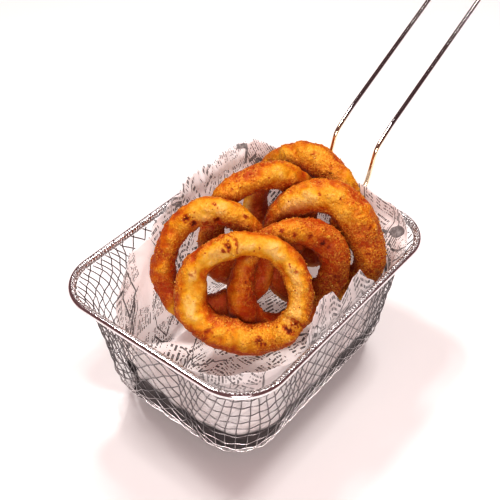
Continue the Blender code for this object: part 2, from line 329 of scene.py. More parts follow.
# smooth the corners of the wall's outline
kern = np.hanning(25)
kern /= kern.sum()
pad = np.pad(prof_i, 12, mode="edge")
prof_i = np.convolve(pad, kern, mode="valid")
WALL_RUN = prof_s[-1]
BASE_X, BASE_Y, BASE_R = RIM_HALF_X - 24.0, RIM_HALF_Y - 24.0, 18.0
QUARTER = SIDE_X + SIDE_Y + ARC


def press(q):
    """Flat sheet points (n, 2) to the pressed basket: position, outward normal, run up the wall.

    The sheet keeps its distance from the flat bottom; round the wall its cells are squeezed
    sideways evenly, as a bias-cut mesh shears, so they stand steeper towards the rim."""
    q = np.asarray(q, float)
    ax, ay = BASE_X - BASE_R, BASE_Y - BASE_R
    X, Y = np.abs(q[:, 0]), np.abs(q[:, 1])
    dx, dy = np.maximum(X - ax, 0), np.maximum(Y - ay, 0)
    rr = np.hypot(dx, dy)
    d = np.maximum(rr - BASE_R, 0.0)
    R = BASE_R + d
    phi = np.arctan2(dy, dx)
    side_y, side_x = (dy <= 0), (dx <= 0) & (dy > 0)
    arc = np.where(side_y, Y, np.where(side_x, ay + R * math.pi / 2 + (ax - X), ay + R * phi))
    even = arc / (ay + R * math.pi / 2 + ax) * QUARTER
    plain = np.where(side_y, Y / ay * SIDE_Y,
                     np.where(side_x, SIDE_Y + ARC + (ax - X) / ax * SIDE_X, SIDE_Y + ARC * phi / (math.pi / 2)))
    w = np.clip(d / 34.0, 0, 1)
    w = 0.62 * w * w * (3 - 2 * w)
    s = (1 - w) * plain + w * even
    left, low = q[:, 0] < 0, q[:, 1] < 0
    s = np.where(~left & ~low, s, np.where(left & ~low, 2 * QUARTER - s, np.where(left & low, 2 * QUARTER + s, 4 * QUARTER - s)))
    run = d * (1 + 0.0016 * d)
    z = np.interp(run, prof_s, zz)
    inset = np.interp(z, zz, prof_i)
    x, y, nx, ny = on_outline(s, RIM_HALF_X - inset, RIM_HALF_Y - inset, corner_radius(z))
    wall = d > 0
    P = np.stack([np.where(wall, x, q[:, 0]), np.where(wall, y, q[:, 1]), np.where(wall, z, 0.6)], 1)
    hi_z, lo_z = np.interp(run + 0.5, prof_s, zz), np.interp(np.maximum(run - 0.5, 0), prof_s, zz)
    dz, di = hi_z - lo_z, np.interp(hi_z, zz, prof_i) - np.interp(lo_z, zz, prof_i)
    L = np.hypot(dz, di) + 1e-9
    N = np.stack([nx * dz / L, ny * dz / L, di / L], 1)
    N[~wall] = (0, 0, -1)
    return P, N, run


PITCH_MM, WIRE_R = 4.95, 0.23


def woven_paths():
    out = []
    reach = 150.0
    tt = np.arange(-reach, reach + 1e-6, PITCH_MM / 4.0)
    count = int(reach / PITCH_MM)
    for fam, (d, n) in enumerate((((1, 1), (-1, 1)), ((1, -1), (1, 1)))):
        d, n = np.array(d) / math.sqrt(2), np.array(n) / math.sqrt(2)
        for k in range(-count, count + 1):
            off = (k + 0.5) * PITCH_MM
            wob = 0.30 * np.sin(tt / 31.0 + k * 1.7) + 0.20 * math.sin(k * 12.9)
            q = (off + wob)[:, None] * n[None] + tt[:, None] * d[None]
            P, N, run = press(q)
            ok = run <= WALL_RUN - 0.01
            # over and under the other family
            phase = np.cos(math.pi * (tt / PITCH_MM - 0.5)) * (1 if (k + fam) % 2 else -1)
            P = P + N * (0.26 * phase)[:, None]
            idx = np.flatnonzero(ok)
            if len(idx) < 6:
                continue
            for part in np.split(idx, np.flatnonzero(np.diff(idx) > 1) + 1):
                if len(part) >= 6:
                    out.append(P[part])
    return out


# the lowest wires, up to about 14 mm and fading out by 26 mm, get a much lighter base colour: a painted reflection
steel = steel_material("steel_mesh_wire", (0.27, 0.255, 0.26), 0.22, 0.45, (0.014, 0.026, (0.84, 0.81, 0.81)))
paths = woven_paths()
V, F = tubes(paths, [WIRE_R] * len(paths), 4)
weave = mesh_object("woven_mesh", V, F, steel)
print("woven mesh", len(paths), "wires", 2 * len(F), "triangles")
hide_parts("basket_mesh")
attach(weave, BODY)

# ------------------------------------------------------------------------------
# rim: polished wire, with the edge of the mesh wrapped over it
# ------------------------------------------------------------------------------
chrome = steel_material("polished_wire_steel", (0.92, 0.90, 0.90), 0.11, 0.85)
# below its bend (83 mm, fading out by 90 mm) the handle's base colour is warm and light: a painted reflection of the
# fried rings
dark_chrome = steel_material("polished_handle_steel", (0.42, 0.405, 0.41), 0.10, 0.8, (0.083, 0.090, (1.0, 0.86, 0.62)))

folded = steel_material("folded_mesh_edge", (0.86, 0.84, 0.84), 0.34, 0.25)
s = np.linspace(0, RIM_LENGTH, 441)[:-1]
x, y, nx, ny = on_outline(s, RIM_HALF_X, RIM_HALF_Y, RIM_CORNER)
V, F = tubes([np.stack([x, y, np.full_like(x, RIM_Z)], 1)], [RIM_RADIUS], 14, closed=True)
rim = mesh_object("rim_wire_polished", V, F, chrome)
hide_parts("rim_wire")
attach(rim, BODY)

wraps = []
turns = int(RIM_LENGTH / 1.45)
for strand in range(4):
    m = turns // 4
    t = np.linspace(0, 1, m * 10, endpoint=False)
    jitter = 0.35 * np.sin(t * 6.283 * 37 + strand) + 0.25 * np.sin(t * 6.283 * 91 + 2 * strand)
    ss = RIM_LENGTH * t + jitter
    # the strand swings to and fro over the inner half of the rim
    near = np.clip(1 - np.abs(ss - 3 * QUARTER) / 75.0, 0, 1) ** 0.5
    sw = math.pi * (1.0 - 0.20 * near + 0.50 * np.sin(t * 2 * math.pi * m + strand * math.pi / 2))
    x, y, nx, ny = on_outline(ss, RIM_HALF_X, RIM_HALF_Y, RIM_CORNER)
    rr = RIM_RADIUS + 0.22
    wraps.append(np.stack([x + nx * rr * np.cos(sw), y + ny * rr * np.cos(sw), RIM_Z + rr * np.sin(sw) - 0.1], 1))
V, F = tubes(wraps, [0.27] * len(wraps), 5, closed=True)
wrap = mesh_object("rim_folded_mesh", V, F, folded)
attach(wrap, BODY)


# ------------------------------------------------------------------------------
# handle
# ------------------------------------------------------------------------------
def smooth_path(pts, step=1.2, rounds=6):
    P = np.array(pts, float)
    d = np.concatenate([[0], np.cumsum(np.linalg.norm(np.diff(P, axis=0), axis=1))])
    n = max(4, int(d[-1] / step))
    t = np.linspace(0, d[-1], n)
    Q = np.stack([np.interp(t, d, P[:, k]) for k in range(3)], 1)
    for _ in range(rounds):
        Q[1:-1] = 0.25 * Q[:-2] + 0.5 * Q[1:-1] + 0.25 * Q[2:]
    return Q


end = (LEG_STRAIGHT[0] + LEG_LENGTH * math.cos(LEG_RISE), LEG_STRAIGHT[1] + LEG_LENGTH * math.sin(LEG_RISE))
leg = [(px, LEG_Y, pz) for px, pz in (LEG_FOOT, LEG_WALL, LEG_FLARE, LEG_RIM, LEG_KNEE, LEG_BEND, LEG_STRAIGHT, end)]
leg = [tuple(p) for p in smooth_path(leg, 1.0, 7)]
loop = []
for i in range(1, 20):
    t = math.pi / 2 * (1 - i / 10)
    loop.append((end[0] + LEG_Y * math.cos(t) * math.cos(LEG_RISE), LEG_Y * math.sin(t),
                 end[1] + LEG_Y * math.cos(t) * math.sin(LEG_RISE)))
handle_path = leg + loop + [(a, -b, c) for a, b, c in reversed(leg)]
V, F = tubes([handle_path], [HANDLE_WIRE - 0.22], 16)
handle = mesh_object("handle_polished", V, F, dark_chrome)
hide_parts("handle_wire")
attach(handle, BODY)


# ------------------------------------------------------------------------------
# rings
# ------------------------------------------------------------------------------
def ring_frame(r):
    lean, turn = math.radians(r["lean"]), math.radians(r["turn"])
    n = np.array([math.cos(lean) * math.cos(turn), math.cos(lean) * math.sin(turn), math.sin(lean)])
    u = np.cross((0, 0, 1.0), n)
    u /= np.linalg.norm(u)
    return u, np.cross(n, u), n


def ring_middle(r, t):
    def wave(key, k):
        amount, angle = r[key]
        return amount * np.cos(k * (t - math.radians(angle)))
    rad = r["radius"] * (1 + wave("oval", 2) + wave("tri", 3) + wave("quad", 4))
    tube = r["tube"] * (1 + wave("thick", 1) + wave("thick2", 2))
    return rad, wave("warp", 2), tube


def ring_tubes():
    pts, rad = [], []
    for r in RINGS.values():
        u, w, n = ring_frame(r)
        t = np.arange(90) * 2 * math.pi / 90
        R, h, tube = ring_middle(r, t)
        pts.append(np.array(r["mid"]) + (R * np.cos(t))[:, None] * u + (R * np.sin(t))[:, None] * w + h[:, None] * n)
        rad.append(tube)
    return np.concatenate(pts), np.concatenate(rad)


def fractal(P, scale, octaves=3, seed=0.0):
    out = np.empty(len(P))
    off = Vector((seed, seed * 1.7, seed * 0.6))
    for i, p in enumerate(P):
        v = Vector(p) * scale + off
        a, f, amp = 0.0, 1.0, 1.0
        for _ in range(octaves):
            a += amp * noise.noise(v * f)
            f *= 2.03
            amp *= 0.5
        out[i] = a
    return out


def hidden_share(P, N, own, rays=28):
    """Share of the half-space over each point that the rings block, own ring near the point apart."""
    g = np.arange(rays) + 0.5
    ph, ct = g * 2.399963, np.sqrt(1 - g / rays)
    st = np.sqrt(1 - ct ** 2)
    up = np.where(np.abs(N[:, 2:]) < 0.9, np.array([[0, 0, 1.0]]), np.array([[1.0, 0, 0]]))
    a = np.cross(up, N)
    a /= np.linalg.norm(a, axis=1)[:, None]
    b = np.cross(N, a)
    cen, rad = ring_tubes()
    owner = np.repeat(np.arange(len(RINGS)), 90)
    blocked = np.zeros(len(P))
    oc = cen[None] - P[:, None]
    oc2 = (oc ** 2).sum(-1)
    skip = (owner[None] == own) & (oc2 < (rad * 1.8)[None] ** 2)
    for k in range(rays):
        D = st[k] * (np.cos(ph[k]) * a + np.sin(ph[k]) * b) + ct[k] * N
        tca = (oc * D[:, None]).sum(-1)
        blocked += ((tca > 0) & (oc2 - tca ** 2 < (rad ** 2)[None]) & ~skip).any(1)
    return blocked / rays


def spread(coarse, n, m):
    """A periodic coarse grid of values, blended up to n by m."""
    a, b = coarse.shape
    i, j = np.arange(n) * a / n, np.arange(m) * b / m
    i0, j0 = i.astype(int), j.astype(int)
    fi, fj = (i - i0)[:, None], (j - j0)[None]
    i1, j1 = (i0 + 1) % a, (j0 + 1) % b
    return ((1 - fi) * ((1 - fj) * coarse[np.ix_(i0, j0)] + fj * coarse[np.ix_(i0, j1)])
            + fi * ((1 - fj) * coarse[np.ix_(i1, j0)] + fj * coarse[np.ix_(i1, j1)]))


AROUND, TUBE = ((380, 112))


def crust_material():
    k = Nodes("golden_crust")
    b = k.bsdf
    crumb = k.attr("crumb").outputs["Fac"]
    brown = k.attr("brown").outputs["Fac"]
    tone_and_light = k.attr("tone_and_light").outputs["Fac"]
    blot = k.noise(230.0, 4.0, 0.6, dist=0.4)
    grain = k.noise(1350.0, 3.0, 0.62)
    # tone_and_light carries random tone together with painted light and shade
    level = k.math("ADD", tone_and_light, k.math("MULTIPLY", k.math("SUBTRACT", blot, 0.5), 0.55))
    base = k.ramp(level, ((0.0, (0.42, 0.046, 0.001)), (0.25, (0.56, 0.130, 0.002)), (0.50, (0.68, 0.290, 0.005)),
                          (0.76, (0.75, 0.430, 0.042)), (1.0, (0.79, 0.555, 0.200))))
    # painted shade: the crust turns deep red where the other rings block the light, from the baked share in
    # painted_shade
    base = k.mix(k.map(k.attr("painted_shade").outputs["Fac"], 0.18, 0.60, 0.0, 0.95), base, (0.40, 0.028, 0.001))
    # grains: painted shade of deep orange between them, painted highlights of pale gold on their tops
    speck = k.map(grain, 0.38, 0.66, 0.0, 1.0)
    rough_mix = k.map(crumb, 0.08, 0.60, 0.10, 1.0)
    low = k.mix(1.0, base, (0.86, 0.62, 0.40), "MULTIPLY")
    grain_highlight = k.mix(0.6, base, (0.95, 0.56, 0.08))
    grainy = k.mix(speck, low, grain_highlight)
    base = k.mix(rough_mix, base, grainy)
    base = k.mix(k.map(brown, 0.06, 0.38, 0.0, 0.92), base, (0.40, 0.050, 0.002))
    base = k.mix(k.map(brown, 0.38, 0.84, 0.0, 0.94), base, (0.11, 0.009, 0.001))
    k.link(base, b.inputs["Base Color"])
    k.link(k.map(grain, 0.3, 0.7, 0.52, 0.30), b.inputs["Roughness"])
    b.inputs["Specular IOR Level"].default_value = 0.20
    b.inputs["Subsurface Weight"].default_value = 0.10
    b.inputs["Subsurface Radius"].default_value = (0.0026, 0.0009, 0.0003)
    b.inputs["Subsurface Scale"].default_value = 1.0
    cell = k.new("ShaderNodeTexVoronoi", feature="F1")
    cell.inputs["Scale"].default_value = 1150.0
    k.link(k.coords(), cell.inputs["Vector"])
    bead = k.math("MULTIPLY", k.math("SUBTRACT", 1.0, cell.outputs["Distance"]), k.map(crumb, 0.08, 0.6, 0.10, 1.0))
    height = k.math("ADD", k.math("MULTIPLY", bead, 0.55), k.math("MULTIPLY", grain, 0.45))
    k.link(k.bump(height, 0.00065, 0.8), b.inputs["Normal"])
    return k.mat


crust = crust_material()


def grid_faces(n, m):
    i, j = np.meshgrid(np.arange(n), np.arange(m), indexing="ij")
    return np.stack([i * m + j, ((i + 1) % n) * m + j, ((i + 1) % n) * m + (j + 1) % m, i * m + (j + 1) % m], -1).reshape(-1, 4)


def bump_at(t, p, t0, p0, wt, wp):
    """A soft round spot on the ring: distance in along-the-ring and round-the-tube angles."""
    dt = (t - math.radians(t0) + math.pi) % (2 * math.pi) - math.pi
    dp = (p - math.radians(p0) + math.pi) % (2 * math.pi) - math.pi
    return np.exp(-((dt / math.radians(wt)) ** 2 + (dp / math.radians(wp)) ** 2))


# spots of char: angle along the ring, angle round the tube (0 outward, 90 face), size in degrees, strength
SPOTS = {
    "onion_ring_1": ((111, 82, 2.6, 22, 0.9), (117, 96, 1.8, 12, 0.6), (292, 100, 4.0, 22, 0.7), (297, 84, 2.2, 14, 0.6),
                     (327, 92, 2.6, 26, 0.9), (335, 84, 2.0, 16, 0.8), (222, 50, 3.4, 16, 0.5), (229, 92, 2.4, 12, 0.5),
                     (160, 88, 5.0, 20, 0.25), (30, 78, 2.0, 10, 0.4)),
    "onion_ring_2": ((115, 66, 3.2, 16, 0.8), (110, 106, 4.0, 14, 0.9), (84, 112, 3.4, 14, 0.8), (70, 126, 3.0, 12, 0.7),
                     (97, 120, 3.5, 10, 0.6), (87, 42, 1.8, 8, 0.5), (58, 44, 2.2, 9, 0.6), (158, 62, 1.8, 8, 0.4),
                     (212, 78, 3.0, 14, 0.3)),
    "onion_ring_3": ((94, 56, 2.0, 14, 0.7), (82, 86, 2.2, 12, 0.6), (64, 90, 2.2, 11, 0.6), (47, 98, 3.4, 16, 0.9),
                     (38, 102, 2.6, 12, 0.7), (357, 104, 2.4, 14, 0.7), (350, 96, 1.8, 12, 0.6), (18, 84, 1.6, 9, 0.5),
                     (172, 104, 2.0, 10, 0.6), (163, 90, 1.8, 8, 0.6), (185, 96, 1.5, 8, 0.5)),
    "onion_ring_4": ((36, 54, 1.7, 8, 0.6), (31, 70, 1.5, 8, 0.6), (9, 88, 2.0, 9, 0.6), (358, 66, 1.6, 7, 0.5),
                     (93, 62, 1.4, 8, 0.4), (74, 58, 1.4, 6, 0.4), (338, 108, 2.0, 10, 0.5), (346, 84, 1.6, 8, 0.5),
                     (22, 96, 1.4, 7, 0.5)),
    "onion_ring_5": ((119, 50, 1.4, 7, 0.4), (88, 54, 1.3, 7, 0.3), (140, 70, 1.6, 8, 0.4)),
    "onion_ring_6": ((82, 50, 3.2, 10, 0.35), (63, 46, 2.2, 8, 0.3), (100, 64, 1.6, 7, 0.3)),
}
# cracks or seams across the tube: angle along the ring, half-width in degrees, depth in mm, slant
SEAMS = {
    "onion_ring_1": ((110, 2.2, 1.1, -1.4), (330, 2.4, 1.3, 1.2), (228, 4.0, 0.4, 0.4)),
    "onion_ring_2": (),
    "onion_ring_3": (),
    "onion_ring_4": (),
    "onion_ring_5": (),
    "onion_ring_6": (),
}
# crumbly stretches: angle along the ring, angle round the tube, sizes, strength
ROUGH = {
    "onion_ring_1": ((0, 120, 34, 60, 0.9), (350, 50, 40, 50, 0.7), (110, 70, 16, 60, 0.6), (300, 95, 34, 50, 0.6),
                     (250, 150, 40, 34, 0.9), (190, 40, 50, 34, 0.6), (40, 150, 30, 30, 0.5), (315, 160, 30, 30, 0.8)),
    "onion_ring_2": ((100, 100, 40, 40, 0.6), (165, 110, 40, 50, 0.4), (50, 70, 30, 60, 0.5)),
    "onion_ring_3": ((20, 60, 60, 60, 0.6), (90, 60, 24, 50, 0.7), (330, 140, 30, 50, 1.0), (160, 110, 40, 50, 0.4)),
    "onion_ring_4": ((0, 80, 50, 80, 1.0), (40, 90, 34, 70, 0.8), (70, 120, 40, 40, 0.6), (130, 40, 30, 60, 0.5), (330, 90, 30, 70, 0.9)),
    "onion_ring_5": ((110, 40, 40, 60, 0.5), (150, 90, 40, 60, 0.7), (60, 110, 40, 40, 0.5)),
    "onion_ring_6": ((80, 70, 60, 60, 0.7), (50, 80, 34, 60, 0.8)),
}


# painted light and shade: stretches made paler where light falls and darker where shade falls: angle along the ring,
# angle round the tube, sizes, change of tone
LIT_AND_SHADED_STRETCHES = {
    "onion_ring_1": ((180, 95, 60, 34, 0.24), (12, 88, 46, 40, 0.46), (278, 125, 44, 34, 0.10), (265, 20, 76, 62, -0.85), (322, 100, 18, 60, -0.20), (0, 0, 70, 40, -0.20), (150, 0, 60, 40, -0.15),
                     (110, 80, 10, 40, -0.15), (225, 40, 14, 60, -0.18)),
    "onion_ring_2": ((192, 70, 56, 110, -0.55), (100, 60, 36, 44, 0.22), (60, 70, 20, 50, -0.10)),
    "onion_ring_3": ((90, 60, 200, 200, -0.20), (355, 90, 66, 120, -0.92), (170, 110, 40, 70, -0.55), (176, 20, 44, 40, 0.30), (118, 60, 26, 34, 0.34)),
    "onion_ring_4": ((0, 90, 50, 100, -0.60), (60, 150, 60, 40, -0.40), (112, 70, 40, 44, 0.16)),
    "onion_ring_5": ((150, 80, 30, 90, -0.20), (80, 110, 60, 40, -0.15)),
    "onion_ring_6": ((60, 100, 40, 50, -0.30), (84, 50, 60, 40, 0.06)),
}
# lumps of batter: angle along the ring, angle round the tube, sizes, height in mm
LUMPS = {
    "onion_ring_1": ((258, 168, 9, 34, 1.5), (302, 166, 8, 32, 1.3), (281, 172, 7, 30, -0.7), (340, 172, 8, 34, -0.8),
                     (20, 160, 12, 30, 0.8), (95, 100, 14, 40, 0.8), (128, 110, 10, 40, -0.7), (205, 20, 12, 40, 0.9),
                     (240, 10, 9, 34, -0.6), (178, 160, 12, 34, 0.9), (60, 30, 16, 40, 0.5), (318, 70, 9, 40, 0.8)),
    "onion_ring_2": ((150, 60, 12, 40, 0.7), (128, 90, 7, 40, -0.6), (95, 60, 12, 40, 0.7), (60, 80, 8, 40, -0.5)),
    "onion_ring_3": ((75, 60, 12, 40, 0.6), (30, 60, 12, 40, 0.7), (340, 165, 9, 40, 1.4), (325, 160, 7, 30, -0.7),
                     (356, 170, 7, 30, 0.9)),
    "onion_ring_4": ((130, 70, 14, 50, 0.6), (60, 150, 14, 40, 0.7), (30, 90, 10, 40, 0.5), (350, 60, 10, 40, 0.6)),
    "onion_ring_5": ((130, 60, 14, 40, 0.5), (70, 60, 14, 40, 0.5)),
    "onion_ring_6": ((90, 40, 12, 30, 0.6), (60, 50, 12, 30, -0.5), (40, 60, 10, 30, 0.5)),
}


def ring_piece(name, r, seed, own):
    t = np.repeat(np.arange(AROUND) * 2 * math.pi / AROUND, TUBE)
    p = np.tile(np.arange(TUBE) * 2 * math.pi / TUBE, AROUND)
    R, h, tube = ring_middle(r, t)
    flat = np.stack([(R + tube * np.cos(p)) * np.cos(t), (R + tube * np.cos(p)) * np.sin(t), h + tube * np.sin(p)], 1)
    rough = 0.24 * np.ones(len(t)) + 0.42 * np.clip(0.45 - np.sin(p), 0, 1)
    for t0, p0, wt, wp, a in ROUGH[name]:
        rough += a * bump_at(t, p, t0, p0, wt, wp)
    rough = np.clip(rough, 0, 1.2)
    big = fractal(flat, 0.085, 2, seed)              # slow swells of the batter
    mid = fractal(flat, 0.30, 2, seed + 5)
    crumb = fractal(flat, 0.95, 2, seed + 9)
    fine = fractal(flat, 2.2, 2, seed + 14)
    rough = np.clip(rough * (0.75 + 0.9 * mid), 0, 1.2)
    lift = 0.90 * big + 0.45 * mid + rough * (0.42 * np.abs(crumb) + 0.36 * fine) - 0.15
    for t0, p0, wt, wp, a in LUMPS[name]:
        lift += a * bump_at(t, p, t0, p0, wt, wp)
    brown = np.zeros(len(t))
    for t0, p0, wt, wp, a in SPOTS[name]:
        edge = 1.0 + 1.5 * crumb + 0.7 * fine
        s = np.clip(bump_at(t, p, t0, p0, wt * 1.15, wp) * edge, 0, 1)
        brown = np.maximum(brown, a * s)
        lift -= 0.30 * a * s
    for t0, wt, depth, slant in SEAMS[name]:
        dt = (t - math.radians(t0) - slant * np.sin(p) * 0.12 - 0.05 * mid + math.pi) % (2 * math.pi) - math.pi
        g = np.exp(-(dt / math.radians(wt)) ** 2) * np.clip(1.3 * np.cos(p - 1.3) - 0.25 + 0.5 * mid, 0, 1)
        lift -= depth * g
        lift += 0.45 * depth * np.exp(-((dt - math.radians(2.2 * wt)) / math.radians(wt * 1.4)) ** 2)
        brown = np.maximum(brown, 0.42 * np.clip(g * 1.2 - 0.35 + 0.5 * crumb, 0, 1))
    # small freckles
    freck = fractal(flat, 0.62, 2, seed + 21)
    brown = np.maximum(brown, np.clip((freck - 0.66) * 2.2, 0, 0.40))
    a = tube + lift
    local = np.stack([(R + a * np.cos(p)) * np.cos(t), (R + a * np.cos(p)) * np.sin(t), h + a * np.sin(p)], 1)
    u, w, n = ring_frame(r)
    P = np.array(r["mid"]) + local @ np.stack([u, w, n])
    G = P.reshape(AROUND, TUBE, 3)
    cn, cm = 60, 18
    ci, cj = (np.arange(cn) * AROUND // cn), (np.arange(cm) * TUBE // cm)
    middle = G.mean(1)
    small = G[np.ix_(ci, cj)]
    out = small - middle[ci][:, None]
    out /= np.linalg.norm(out, axis=-1)[..., None]
    shade = hidden_share((small + 0.4 * out).reshape(-1, 3), out.reshape(-1, 3), own).reshape(cn, cm)
    for _ in range(2):
        shade = 0.5 * shade + 0.125 * (np.roll(shade, 1, 0) + np.roll(shade, -1, 0) + np.roll(shade, 1, 1) + np.roll(shade, -1, 1))
    shade = spread(shade, AROUND, TUBE).ravel()
    o = mesh_object(name.replace("onion_ring", "battered_ring"), P, grid_faces(AROUND, TUBE), crust)
    # painted shade: the share of light that the rings block, stored to darken and redden the crust
    attribute(o, "painted_shade", shade)
    # loose crumbs stuck on the crust
    pick = np.random.default_rng(int(seed * 10)).choice(len(P), 500, replace=False, p=(rough + 0.08) / (rough + 0.08).sum())
    side = G - middle[:, None]
    side /= np.linalg.norm(side, axis=-1)[..., None]
    crumbs.append((P[pick], side.reshape(-1, 3)[pick], rough[pick], shade[pick]))
    # painted light: the tube is paler towards its front face (p = 90 degrees) and darker on its back; big and mid add
    # random swells of tone, crumbly stretches are a little darker
    crest = np.sin(p) * 0.5 + 0.5
    tone_and_light = np.clip(0.08 + 0.66 * crest ** 2 + 0.44 * big + 0.28 * mid - 0.09 * rough, 0, 1)
    for t0, p0, wt, wp, a in LIT_AND_SHADED_STRETCHES[name]:
        tone_and_light = tone_and_light + a * bump_at(t, p, t0, p0, wt, wp)
    attribute(o, "crumb", np.clip(rough * (0.75 + 0.9 * crumb + 0.5 * fine), 0, 1))
    attribute(o, "brown", np.clip(brown, 0, 1))
    attribute(o, "tone_and_light", np.clip(tone_and_light, 0, 1))
    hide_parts(name)
    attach(o, BODY)
    return o


crumbs = []
ring_objs = {n: ring_piece(n, r, 3.1 + 7.7 * i, i) for i, (n, r) in enumerate(RINGS.items())}


def blobs(P, N, size, g, sink=0.25):
    """Small lumpy beads, one on each point."""
    phi = (1 + 5 ** 0.5) / 2
    ico = np.array([(-1, phi, 0), (1, phi, 0), (-1, -phi, 0), (1, -phi, 0), (0, -1, phi), (0, 1, phi), (0, -1, -phi),
                    (0, 1, -phi), (phi, 0, -1), (phi, 0, 1), (-phi, 0, -1), (-phi, 0, 1)]) / 1.902
    tri = np.array([(0, 11, 5), (0, 5, 1), (0, 1, 7), (0, 7, 10), (0, 10, 11), (1, 5, 9), (5, 11, 4), (11, 10, 2), (10, 7, 6),
                    (7, 1, 8), (3, 9, 4), (3, 4, 2), (3, 2, 6), (3, 6, 8), (3, 8, 9), (4, 9, 5), (2, 4, 11), (6, 2, 10),
                    (8, 6, 7), (9, 8, 1)])
    n = len(P)
    V = ico[None] * (1 + g.uniform(-0.28, 0.28, (n, 12, 1))) * g.uniform(0.7, 1.3, (n, 1, 3)) * size[:, None, None]
    V = V + (P + N * (size * (1 - sink))[:, None] * 0.6)[:, None]
    F = tri[None] + (np.arange(n) * 12)[:, None, None]
    return V.reshape(-1, 3), F.reshape(-1, 3)


g = np.random.default_rng(5)
CP, CN = np.concatenate([c[0] for c in crumbs]), np.concatenate([c[1] for c in crumbs])
CR, CS = np.concatenate([c[2] for c in crumbs]), np.concatenate([c[3] for c in crumbs])
size = g.uniform(0.15, 0.36, len(CP)) * (0.7 + 0.6 * CR)
V, F = blobs(CP, CN, size, g)
crumb_coat = mesh_object("crust_crumbs", V, F, crust)
# the crumbs take the painted shade of the crust under them
attribute(crumb_coat, "painted_shade", np.repeat(CS, 12))
attribute(crumb_coat, "crumb", np.repeat(g.uniform(0.0, 0.5, len(CP)), 12))
attribute(crumb_coat, "brown", np.repeat(np.where(g.random(len(CP)) < 0.06, 0.6, 0.0), 12))
attribute(crumb_coat, "tone_and_light", np.repeat(g.uniform(0.35, 1.0, len(CP)), 12))
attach(crumb_coat, BODY)

# ------------------------------------------------------------------------------
# paper liner
# ------------------------------------------------------------------------------
EDGE_T = np.vstack([np.array(EDGE, float), np.array(EDGE[0], float) + (RIM_LENGTH, 0, 0, 0)])
VISIBLE_GAP = 1.15


def paper_surface(s, reach):
    z_edge, lean, top = (np.interp(np.mod(s, RIM_LENGTH), EDGE_T[:, 0], EDGE_T[:, c]) for c in (1, 2, 3))
    tau = reach / 2 * top
    # between the food and the back and left walls the sheet slopes down instead of following the wall
    sm = np.mod(s, RIM_LENGTH)
    slope = np.clip(1 - np.abs(sm - 150) / 56, 0, 1) ** 0.6
    foot = wall_inset(FLOOR_FOOT) + VISIBLE_GAP + 0.3 + 9.0 * slope
    fx, fy, nx, ny = on_outline(s, RIM_HALF_X - foot, RIM_HALF_Y - foot, corner_radius(FLOOR_FOOT))
    drop = np.clip((tau - 0.60) / 0.40, 0, 1)
    zf = FLOOR_MID + (FLOOR_FOOT - FLOOR_MID) * drop * drop * (3 - 2 * drop)
    zf = np.where(top < 1.6, FLOOR_MID + 3.0 * tau ** 3, zf)
    floor = np.stack([fx * tau, fy * tau, zf], 1)
    nf = np.stack([nx, ny, np.full_like(nx, -0.8)], 1)
    hh = np.maximum(tau - 1, 0)
    z = FLOOR_FOOT + (z_edge - FLOOR_FOOT) * hh
    inset = np.maximum(wall_inset(np.minimum(z, RIM_Z)) + VISIBLE_GAP, 2.4) + lean * hh * hh
    # the back edge is folded out a little over the rim
    back = np.clip(1 - np.abs(np.mod(s, RIM_LENGTH) - 74) / 34, 0, 1) ** 0.5
    inset = inset + 9.0 * slope * (1 - hh) ** 1.3
    inset = inset - back * (0.55 * np.maximum(z - 66.6, 0) + lean * hh * hh)
    x, y, nx, ny = on_outline(s, RIM_HALF_X - inset, RIM_HALF_Y - inset, corner_radius(np.minimum(z, RIM_Z)))
    wall = np.stack([x, y, z], 1)
    nw = np.stack([nx, ny, np.zeros_like(nx)], 1)
    up = tau > 1
    P = np.where(up[:, None], wall, floor)
    N = np.where(up[:, None], nw, nf)
    return P, N / np.linalg.norm(N, axis=1)[:, None], tau


def creases(q, seed, count, width):
    """Folds of crumpled paper: distance to random straight lines in the flat sheet, folded up and down."""
    g = np.random.default_rng(seed)
    h = np.zeros(len(q))
    for _ in range(count):
        a = g.uniform(0, math.pi)
        c = g.uniform(-95, 95, 2)
        d = (q - c) @ np.array([math.cos(a), math.sin(a)])
        along = (q - c) @ np.array([-math.sin(a), math.cos(a)])
        span = g.uniform(14, 46)
        fade = np.clip(1 - (along / span) ** 2, 0, 1)
        w = width * g.uniform(0.5, 1.6)
        amp = g.uniform(0.3, 1.0) * g.choice((-1, 1))
        h += amp * fade * np.clip(1 - np.abs(d) / w, 0, 1)
    return h


PS, PR = ((440, 106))
s_line = np.linspace(0, RIM_LENGTH, PS, endpoint=False)
r_line = np.linspace(0.04, 2.0, PR)
S, Rr = np.meshgrid(s_line, r_line, indexing="ij")
P, N, tau = paper_surface(S.ravel(), Rr.ravel())
# flat sheet coordinates: out from the middle along the surface
cx, cy, _, _ = on_outline(S.ravel(), 52.0, 40.0, 18.0)
reachmm = np.where(tau <= 1, tau, 1 + (tau - 1) * 1.05)
flat = np.stack([cx * reachmm, cy * reachmm], 1)
wallness = np.clip((tau - 1.0) * 6, 0, 1)
fold = creases(flat, 5, 130, 5.0) * 1.3 + creases(flat, 8, 190, 2.2) * 0.55
# the free top edge of the back sheet is crushed into small folds
sv = np.mod(S.ravel(), RIM_LENGTH)
crush = np.clip(1 - np.abs(sv - 80) / 34, 0, 1) ** 0.5 * np.clip((tau - 1.72) / 0.2, 0, 1)
fold = fold + crush * (1.1 * np.sin(sv * 0.62 + 9 * tau) + 0.8 * np.sin(sv * 1.15 - 14 * tau))
# folds stand in from the wall only, never out through the mesh
push = np.where(wallness > 0, -np.abs(fold) * (0.35 + 0.65 * np.clip(tau - 1.3, 0, 1)), fold)
P = P + N * (np.where(tau <= 1, -1.15 * fold, push))[:, None]
tubes_p, tubes_r = ring_tubes()


